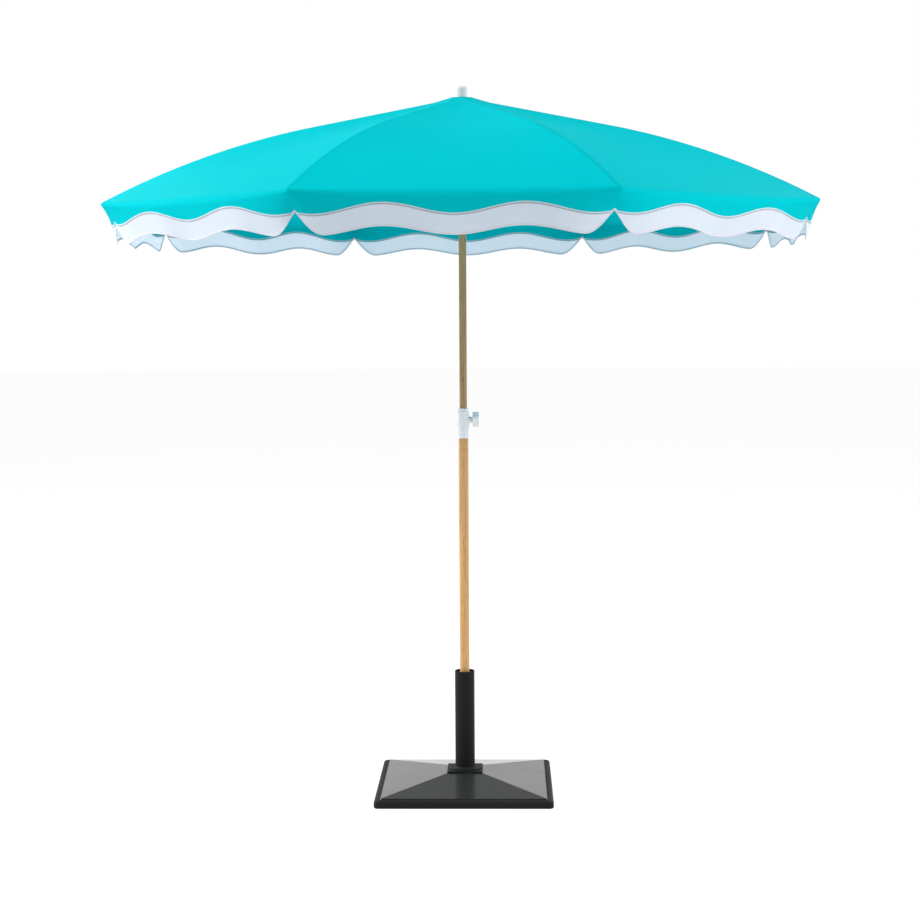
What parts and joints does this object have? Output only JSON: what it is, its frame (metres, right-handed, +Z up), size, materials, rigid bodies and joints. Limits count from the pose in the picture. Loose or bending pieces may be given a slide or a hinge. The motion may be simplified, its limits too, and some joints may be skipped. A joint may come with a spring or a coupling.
{
  "type": "beach umbrella",
  "caption": "Beach umbrella with a panelled cloth canopy and scalloped valance, folding ribs, a telescoping wood-look pole with a clamp collar, and a weighted square base.",
  "frame": {"origin": "centre of the base on the ground", "axes": "+Z up along the pole; -Y is the front, with one canopy panel centred on it; +X is the side of the height knob"},
  "size_m": [2.0326, 2.0326, 2.163],
  "materials": {
    "canopy_cloth": "plain woven polyester, turquoise",
    "band_cloth": "plain woven polyester, white",
    "white_plastic": "satin moulded white",
    "pole_wood": "steel tube with a wood-grain film",
    "rib_paint": "white enamelled rod",
    "base_resin": "cast resin stone, fine textured",
    "sleeve_black": "semi-matt black enamel",
    "black_plastic": "moulded black",
    "foot_rubber": "moulded",
    "bare_steel": "zinc plated",
    "brass_insert": "turned"
  },
  "bodies": {
    "base": {"base_body": "base_resin", "base_feet": "foot_rubber", "sleeve_flange": "sleeve_black", "sleeve_tube": "sleeve_black", "sleeve_floor": "sleeve_black"},
    "reducer": {"reducer_insert": "black_plastic"},
    "lower_pole": {"lower_pole": "pole_wood", "pole_foot": "black_plastic", "height_collar": "white_plastic", "knob_nut": "brass_insert"},
    "height_knob": {"height_knob": "white_plastic", "knob_stud": "bare_steel"},
    "upper_pole": {"upper_pole": "pole_wood", "upper_pole_plug": "black_plastic", "crown_hub": "white_plastic", "hub_pin_ring": "bare_steel", "crown_cap": "canopy_cloth", "finial": "white_plastic"},
    "runner": {"runner": "white_plastic"},
    "rib_1": {"rib_1": "rib_paint", "rib_tip_1": "white_plastic"},
    "strut_1": {"strut_1": "rib_paint"},
    "canopy_panel_1": {"canopy_panel_1": "canopy_cloth"},
    "valance_1": {"valance_1": "canopy_cloth"},
    "rib_2": {"rib_2": "rib_paint", "rib_tip_2": "white_plastic"},
    "strut_2": {"strut_2": "rib_paint"},
    "canopy_panel_2": {"canopy_panel_2": "canopy_cloth"},
    "valance_2": {"valance_2": "canopy_cloth"},
    "rib_3": {"rib_3": "rib_paint", "rib_tip_3": "white_plastic"},
    "strut_3": {"strut_3": "rib_paint"},
    "canopy_panel_3": {"canopy_panel_3": "canopy_cloth"},
    "valance_3": {"valance_3": "canopy_cloth"},
    "rib_4": {"rib_4": "rib_paint", "rib_tip_4": "white_plastic"},
    "strut_4": {"strut_4": "rib_paint"},
    "canopy_panel_4": {"canopy_panel_4": "canopy_cloth"},
    "valance_4": {"valance_4": "canopy_cloth"},
    "rib_5": {"rib_5": "rib_paint", "rib_tip_5": "white_plastic"},
    "strut_5": {"strut_5": "rib_paint"},
    "canopy_panel_5": {"canopy_panel_5": "canopy_cloth"},
    "valance_5": {"valance_5": "canopy_cloth"},
    "rib_6": {"rib_6": "rib_paint", "rib_tip_6": "white_plastic"},
    "strut_6": {"strut_6": "rib_paint"},
    "canopy_panel_6": {"canopy_panel_6": "canopy_cloth"},
    "valance_6": {"valance_6": "canopy_cloth"},
    "rib_7": {"rib_7": "rib_paint", "rib_tip_7": "white_plastic"},
    "strut_7": {"strut_7": "rib_paint"},
    "canopy_panel_7": {"canopy_panel_7": "canopy_cloth"},
    "valance_7": {"valance_7": "canopy_cloth"},
    "rib_8": {"rib_8": "rib_paint", "rib_tip_8": "white_plastic"},
    "strut_8": {"strut_8": "rib_paint"},
    "canopy_panel_8": {"canopy_panel_8": "canopy_cloth"},
    "valance_8": {"valance_8": "canopy_cloth"}
  },
  "joints": [
    {"name": "umbrella_swivel", "type": "hinge", "parent": "base", "child": "reducer", "pos_m": [0, 0, 0.03], "axis": [0, 0, 1], "continuous": true},
    {"name": "umbrella_lift", "type": "slide", "parent": "reducer", "child": "lower_pole", "axis": [0, 0, 1], "range_m": [0, 0.26]},
    {"name": "height_slide", "type": "slide", "parent": "lower_pole", "child": "upper_pole", "axis": [0, 0, 1], "range_m": [0, 0.2]},
    {"name": "height_knob", "type": "hinge", "parent": "lower_pole", "child": "height_knob", "pos_m": [0.0285, 0, 1.15], "axis": [1, 0, 0], "range_deg": [0, 180]},
    {"name": "canopy_runner", "type": "slide", "parent": "upper_pole", "child": "runner", "axis": [0, 0, -1], "range_m": [0, 0.6825], "deforming": ["canopy_panel_1", "canopy_panel_2", "canopy_panel_3", "canopy_panel_4", "canopy_panel_5", "canopy_panel_6", "canopy_panel_7", "canopy_panel_8", "valance_1", "valance_2", "valance_3", "valance_4", "valance_5", "valance_6", "valance_7", "valance_8"]},
    {"name": "rib_hinge_1", "type": "hinge", "parent": "upper_pole", "child": "rib_1", "pos_m": [-0.01148, -0.02772, 2.113], "axis": [0.9239, -0.3827, 0], "range_deg": [0, 72.2]},
    {"name": "rib_hinge_2", "type": "hinge", "parent": "upper_pole", "child": "rib_2", "pos_m": [0.01148, -0.02772, 2.113], "axis": [0.9239, 0.3827, 0], "range_deg": [0, 72.2]},
    {"name": "rib_hinge_3", "type": "hinge", "parent": "upper_pole", "child": "rib_3", "pos_m": [0.02772, -0.01148, 2.113], "axis": [0.3827, 0.9239, 0], "range_deg": [0, 72.2]},
    {"name": "rib_hinge_4", "type": "hinge", "parent": "upper_pole", "child": "rib_4", "pos_m": [0.02772, 0.01148, 2.113], "axis": [-0.3827, 0.9239, 0], "range_deg": [0, 72.2]},
    {"name": "rib_hinge_5", "type": "hinge", "parent": "upper_pole", "child": "rib_5", "pos_m": [0.01148, 0.02772, 2.113], "axis": [-0.9239, 0.3827, 0], "range_deg": [0, 72.2]},
    {"name": "rib_hinge_6", "type": "hinge", "parent": "upper_pole", "child": "rib_6", "pos_m": [-0.01148, 0.02772, 2.113], "axis": [-0.9239, -0.3827, 0], "range_deg": [0, 72.2]},
    {"name": "rib_hinge_7", "type": "hinge", "parent": "upper_pole", "child": "rib_7", "pos_m": [-0.02772, 0.01148, 2.113], "axis": [-0.3827, -0.9239, 0], "range_deg": [0, 72.2]},
    {"name": "rib_hinge_8", "type": "hinge", "parent": "upper_pole", "child": "rib_8", "pos_m": [-0.02772, -0.01148, 2.113], "axis": [0.3827, -0.9239, 0], "range_deg": [0, 72.2]},
    {"name": "strut_hinge_1", "type": "hinge", "parent": "rib_1", "child": "strut_1", "pos_m": [-0.17573, -0.42424, 2.01609], "axis": [0.9239, -0.3827, 0], "range_deg": [-144.4, 0]},
    {"name": "strut_hinge_2", "type": "hinge", "parent": "rib_2", "child": "strut_2", "pos_m": [0.17573, -0.42424, 2.01609], "axis": [0.9239, 0.3827, 0], "range_deg": [-144.4, 0]},
    {"name": "strut_hinge_3", "type": "hinge", "parent": "rib_3", "child": "strut_3", "pos_m": [0.42424, -0.17573, 2.01609], "axis": [0.3827, 0.9239, 0], "range_deg": [-144.4, 0]},
    {"name": "strut_hinge_4", "type": "hinge", "parent": "rib_4", "child": "strut_4", "pos_m": [0.42424, 0.17573, 2.01609], "axis": [-0.3827, 0.9239, 0], "range_deg": [-144.4, 0]},
    {"name": "strut_hinge_5", "type": "hinge", "parent": "rib_5", "child": "strut_5", "pos_m": [0.17573, 0.42424, 2.01609], "axis": [-0.9239, 0.3827, 0], "range_deg": [-144.4, 0]},
    {"name": "strut_hinge_6", "type": "hinge", "parent": "rib_6", "child": "strut_6", "pos_m": [-0.17573, 0.42424, 2.01609], "axis": [-0.9239, -0.3827, 0], "range_deg": [-144.4, 0]},
    {"name": "strut_hinge_7", "type": "hinge", "parent": "rib_7", "child": "strut_7", "pos_m": [-0.42424, 0.17573, 2.01609], "axis": [-0.3827, -0.9239, 0], "range_deg": [-144.4, 0]},
    {"name": "strut_hinge_8", "type": "hinge", "parent": "rib_8", "child": "strut_8", "pos_m": [-0.42424, -0.17573, 2.01609], "axis": [0.3827, -0.9239, 0], "range_deg": [-144.4, 0]},
    {"name": "panel_fold_1", "type": "hinge", "parent": "upper_pole", "child": "canopy_panel_1", "pos_m": [0, -0.03, 2.113], "axis": [1, 0, 0], "range_deg": [0, 69.7]},
    {"name": "panel_fold_2", "type": "hinge", "parent": "upper_pole", "child": "canopy_panel_2", "pos_m": [0.02121, -0.02121, 2.113], "axis": [0.7071, 0.7071, 0], "range_deg": [0, 69.7]},
    {"name": "panel_fold_3", "type": "hinge", "parent": "upper_pole", "child": "canopy_panel_3", "pos_m": [0.03, 0, 2.113], "axis": [0, 1, 0], "range_deg": [0, 69.7]},
    {"name": "panel_fold_4", "type": "hinge", "parent": "upper_pole", "child": "canopy_panel_4", "pos_m": [0.02121, 0.02121, 2.113], "axis": [-0.7071, 0.7071, 0], "range_deg": [0, 69.7]},
    {"name": "panel_fold_5", "type": "hinge", "parent": "upper_pole", "child": "canopy_panel_5", "pos_m": [0, 0.03, 2.113], "axis": [-1, 0, 0], "range_deg": [0, 69.7]},
    {"name": "panel_fold_6", "type": "hinge", "parent": "upper_pole", "child": "canopy_panel_6", "pos_m": [-0.02121, 0.02121, 2.113], "axis": [-0.7071, -0.7071, 0], "range_deg": [0, 69.7]},
    {"name": "panel_fold_7", "type": "hinge", "parent": "upper_pole", "child": "canopy_panel_7", "pos_m": [-0.03, 0, 2.113], "axis": [0, -1, 0], "range_deg": [0, 69.7]},
    {"name": "panel_fold_8", "type": "hinge", "parent": "upper_pole", "child": "canopy_panel_8", "pos_m": [-0.02121, -0.02121, 2.113], "axis": [0.7071, -0.7071, 0], "range_deg": [0, 69.7]},
    {"name": "valance_fold_1", "type": "hinge", "parent": "canopy_panel_1", "child": "valance_1", "pos_m": [0, -1.01627, 1.79689], "axis": [1, 0, 0], "range_deg": [-81.7, 0]},
    {"name": "valance_fold_2", "type": "hinge", "parent": "canopy_panel_2", "child": "valance_2", "pos_m": [0.71861, -0.71861, 1.79689], "axis": [0.7071, 0.7071, 0], "range_deg": [-81.7, 0]},
    {"name": "valance_fold_3", "type": "hinge", "parent": "canopy_panel_3", "child": "valance_3", "pos_m": [1.01627, 0, 1.79689], "axis": [0, 1, 0], "range_deg": [-81.7, 0]},
    {"name": "valance_fold_4", "type": "hinge", "parent": "canopy_panel_4", "child": "valance_4", "pos_m": [0.71861, 0.71861, 1.79689], "axis": [-0.7071, 0.7071, 0], "range_deg": [-81.7, 0]},
    {"name": "valance_fold_5", "type": "hinge", "parent": "canopy_panel_5", "child": "valance_5", "pos_m": [0, 1.01627, 1.79689], "axis": [-1, 0, 0], "range_deg": [-81.7, 0]},
    {"name": "valance_fold_6", "type": "hinge", "parent": "canopy_panel_6", "child": "valance_6", "pos_m": [-0.71861, 0.71861, 1.79689], "axis": [-0.7071, -0.7071, 0], "range_deg": [-81.7, 0]},
    {"name": "valance_fold_7", "type": "hinge", "parent": "canopy_panel_7", "child": "valance_7", "pos_m": [-1.01627, 0, 1.79689], "axis": [0, -1, 0], "range_deg": [-81.7, 0]},
    {"name": "valance_fold_8", "type": "hinge", "parent": "canopy_panel_8", "child": "valance_8", "pos_m": [-0.71861, -0.71861, 1.79689], "axis": [0.7071, -0.7071, 0], "range_deg": [-81.7, 0]}
  ],
  "couplings": [
    {"joint": "rib_hinge_1", "follows": "canopy_runner", "rad_per_m": 1.8412},
    {"joint": "rib_hinge_2", "follows": "canopy_runner", "rad_per_m": 1.8412},
    {"joint": "rib_hinge_3", "follows": "canopy_runner", "rad_per_m": 1.8412},
    {"joint": "rib_hinge_4", "follows": "canopy_runner", "rad_per_m": 1.8412},
    {"joint": "rib_hinge_5", "follows": "canopy_runner", "rad_per_m": 1.8412},
    {"joint": "rib_hinge_6", "follows": "canopy_runner", "rad_per_m": 1.8412},
    {"joint": "rib_hinge_7", "follows": "canopy_runner", "rad_per_m": 1.8412},
    {"joint": "rib_hinge_8", "follows": "canopy_runner", "rad_per_m": 1.8412},
    {"joint": "strut_hinge_1", "follows": "canopy_runner", "rad_per_m": -3.6825},
    {"joint": "strut_hinge_2", "follows": "canopy_runner", "rad_per_m": -3.6825},
    {"joint": "strut_hinge_3", "follows": "canopy_runner", "rad_per_m": -3.6825},
    {"joint": "strut_hinge_4", "follows": "canopy_runner", "rad_per_m": -3.6825},
    {"joint": "strut_hinge_5", "follows": "canopy_runner", "rad_per_m": -3.6825},
    {"joint": "strut_hinge_6", "follows": "canopy_runner", "rad_per_m": -3.6825},
    {"joint": "strut_hinge_7", "follows": "canopy_runner", "rad_per_m": -3.6825},
    {"joint": "strut_hinge_8", "follows": "canopy_runner", "rad_per_m": -3.6825},
    {"joint": "panel_fold_1", "follows": "canopy_runner", "rad_per_m": 1.7773},
    {"joint": "panel_fold_2", "follows": "canopy_runner", "rad_per_m": 1.7773},
    {"joint": "panel_fold_3", "follows": "canopy_runner", "rad_per_m": 1.7773},
    {"joint": "panel_fold_4", "follows": "canopy_runner", "rad_per_m": 1.7773},
    {"joint": "panel_fold_5", "follows": "canopy_runner", "rad_per_m": 1.7773},
    {"joint": "panel_fold_6", "follows": "canopy_runner", "rad_per_m": 1.7773},
    {"joint": "panel_fold_7", "follows": "canopy_runner", "rad_per_m": 1.7773},
    {"joint": "panel_fold_8", "follows": "canopy_runner", "rad_per_m": 1.7773},
    {"joint": "valance_fold_1", "follows": "canopy_runner", "rad_per_m": -2.0842},
    {"joint": "valance_fold_2", "follows": "canopy_runner", "rad_per_m": -2.0842},
    {"joint": "valance_fold_3", "follows": "canopy_runner", "rad_per_m": -2.0842},
    {"joint": "valance_fold_4", "follows": "canopy_runner", "rad_per_m": -2.0842},
    {"joint": "valance_fold_5", "follows": "canopy_runner", "rad_per_m": -2.0842},
    {"joint": "valance_fold_6", "follows": "canopy_runner", "rad_per_m": -2.0842},
    {"joint": "valance_fold_7", "follows": "canopy_runner", "rad_per_m": -2.0842},
    {"joint": "valance_fold_8", "follows": "canopy_runner", "rad_per_m": -2.0842}
  ]
}
